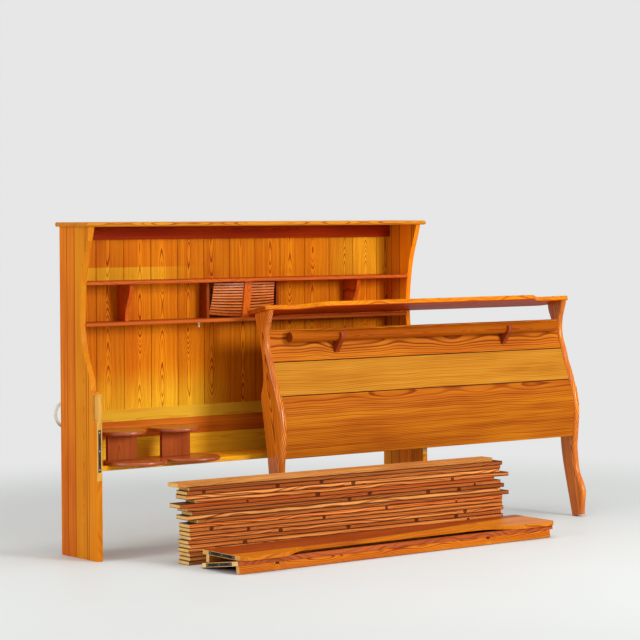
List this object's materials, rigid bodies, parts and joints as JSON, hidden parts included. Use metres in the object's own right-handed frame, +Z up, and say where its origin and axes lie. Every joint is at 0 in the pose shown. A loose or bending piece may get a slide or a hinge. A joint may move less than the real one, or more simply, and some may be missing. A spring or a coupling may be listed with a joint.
{
  "type": "double bed taken apart",
  "caption": "Taken-apart pine bed: bookcase headboard with louvred lamp, curved footboard leaning on it with a bedspread pole, stacked slats, side rails and round two-tier trays.",
  "frame": {"origin": "on the floor, under the middle of the whole arrangement's box without the cord", "axes": "+X runs along the headboard to the viewer's right, +Y points to the back of the headboard, +Z up"},
  "size_m": [2.9399, 1.0998, 1.561],
  "materials": {
    "varnished_pine": "satin varnish, orange",
    "yellow_pine": "satin varnish, honey yellow",
    "raw_pine": "planed, pale sawn ends",
    "steel_plates": "dark burnished steel",
    "steel_screws": "zinc plated",
    "white_lead": "soft white sheath",
    "white_plug": "white, moulded",
    "opal_glass": "opal",
    "dark_plastic": "moulded"
  },
  "bodies": {
    "headboard": {"headboard_left_upright": "varnished_pine", "headboard_right_upright": "varnished_pine", "headboard_top_board": "varnished_pine", "headboard_top_rail": "varnished_pine", "headboard_back_boards": "varnished_pine", "upper_shelf": "varnished_pine", "lower_shelf": "varnished_pine", "left_shelf_bracket": "varnished_pine", "right_shelf_bracket": "varnished_pine", "lamp_left_partition": "varnished_pine", "lamp_right_partition": "varnished_pine", "lamp_shade_laths": "varnished_pine", "lamp_shade_spine": "varnished_pine", "lamp_holder": "dark_plastic", "lamp_bulb": "opal_glass", "switch_ferrule": "white_plug", "lower_back_rail": "yellow_pine", "lower_back_boards": "varnished_pine", "bottom_shelf": "yellow_pine", "headboard_hook_plates": "steel_plates", "headboard_plate_screws": "steel_screws", "cord_strain_relief": "white_plug", "cord_peg": "varnished_pine", "lamp_cord_tail": "white_lead", "lamp_cord_coil": "white_lead", "lamp_cord_lead": "white_lead", "mains_plug": "white_plug", "slat_stack": "raw_pine", "lower_rail_board": "varnished_pine", "lower_rail_ledger": "yellow_pine", "lower_rail_plates": "steel_plates", "lower_rail_screws": "steel_screws"},
    "footboard": {"footboard_left_leg": "varnished_pine", "footboard_right_leg": "varnished_pine", "footboard_top_board": "varnished_pine", "footboard_upper_panel": "varnished_pine", "footboard_middle_panel": "yellow_pine", "footboard_lower_panel": "varnished_pine", "left_pole_hook": "varnished_pine", "right_pole_hook": "varnished_pine", "footboard_hook_plates": "steel_plates", "footboard_plate_screws": "steel_screws"},
    "pole": {"bedspread_pole": "varnished_pine"},
    "pull_switch": {"pull_switch_knob": "white_plug"},
    "upper_rail": {"upper_rail_board": "varnished_pine", "upper_rail_ledger": "yellow_pine", "upper_rail_plates": "steel_plates", "upper_rail_screws": "steel_screws"},
    "loose_slat": {"top_slat": "raw_pine"},
    "left_tray": {"left_tray_lower_disc": "varnished_pine", "left_tray_web": "varnished_pine", "left_tray_upper_disc": "varnished_pine"},
    "right_tray": {"right_tray_lower_disc": "varnished_pine", "right_tray_web": "varnished_pine", "right_tray_upper_disc": "varnished_pine"}
  },
  "joints": [
    {"name": "footboard_lean", "type": "hinge", "parent": "headboard", "child": "footboard", "pos_m": [-0.509, 0.05477, 0], "axis": [1, 0, 0], "range_deg": [0, 10.5]},
    {"name": "pole_turn", "type": "hinge", "parent": "footboard", "child": "pole", "pos_m": [0.4955, 0.14293, 1.00069], "axis": [1, 0, 0], "continuous": true},
    {"name": "switch_pull", "type": "slide", "parent": "headboard", "child": "pull_switch", "axis": [0, 0, -1], "range_m": [0, 0.006], "stiffness_N_per_m": 250},
    {"name": "upper_rail_lift", "type": "slide", "parent": "headboard", "child": "upper_rail", "axis": [0, 0, 1], "range_m": [0, 0.2]},
    {"name": "loose_slat_lift", "type": "slide", "parent": "headboard", "child": "loose_slat", "axis": [0, 0, 1], "range_m": [0, 0.18]},
    {"name": "left_tray_slide", "type": "slide", "parent": "headboard", "child": "left_tray", "axis": [0, -1, 0], "range_m": [0, 0.25]},
    {"name": "right_tray_slide", "type": "slide", "parent": "headboard", "child": "right_tray", "axis": [0, -1, 0], "range_m": [0, 0.25]}
  ]
}
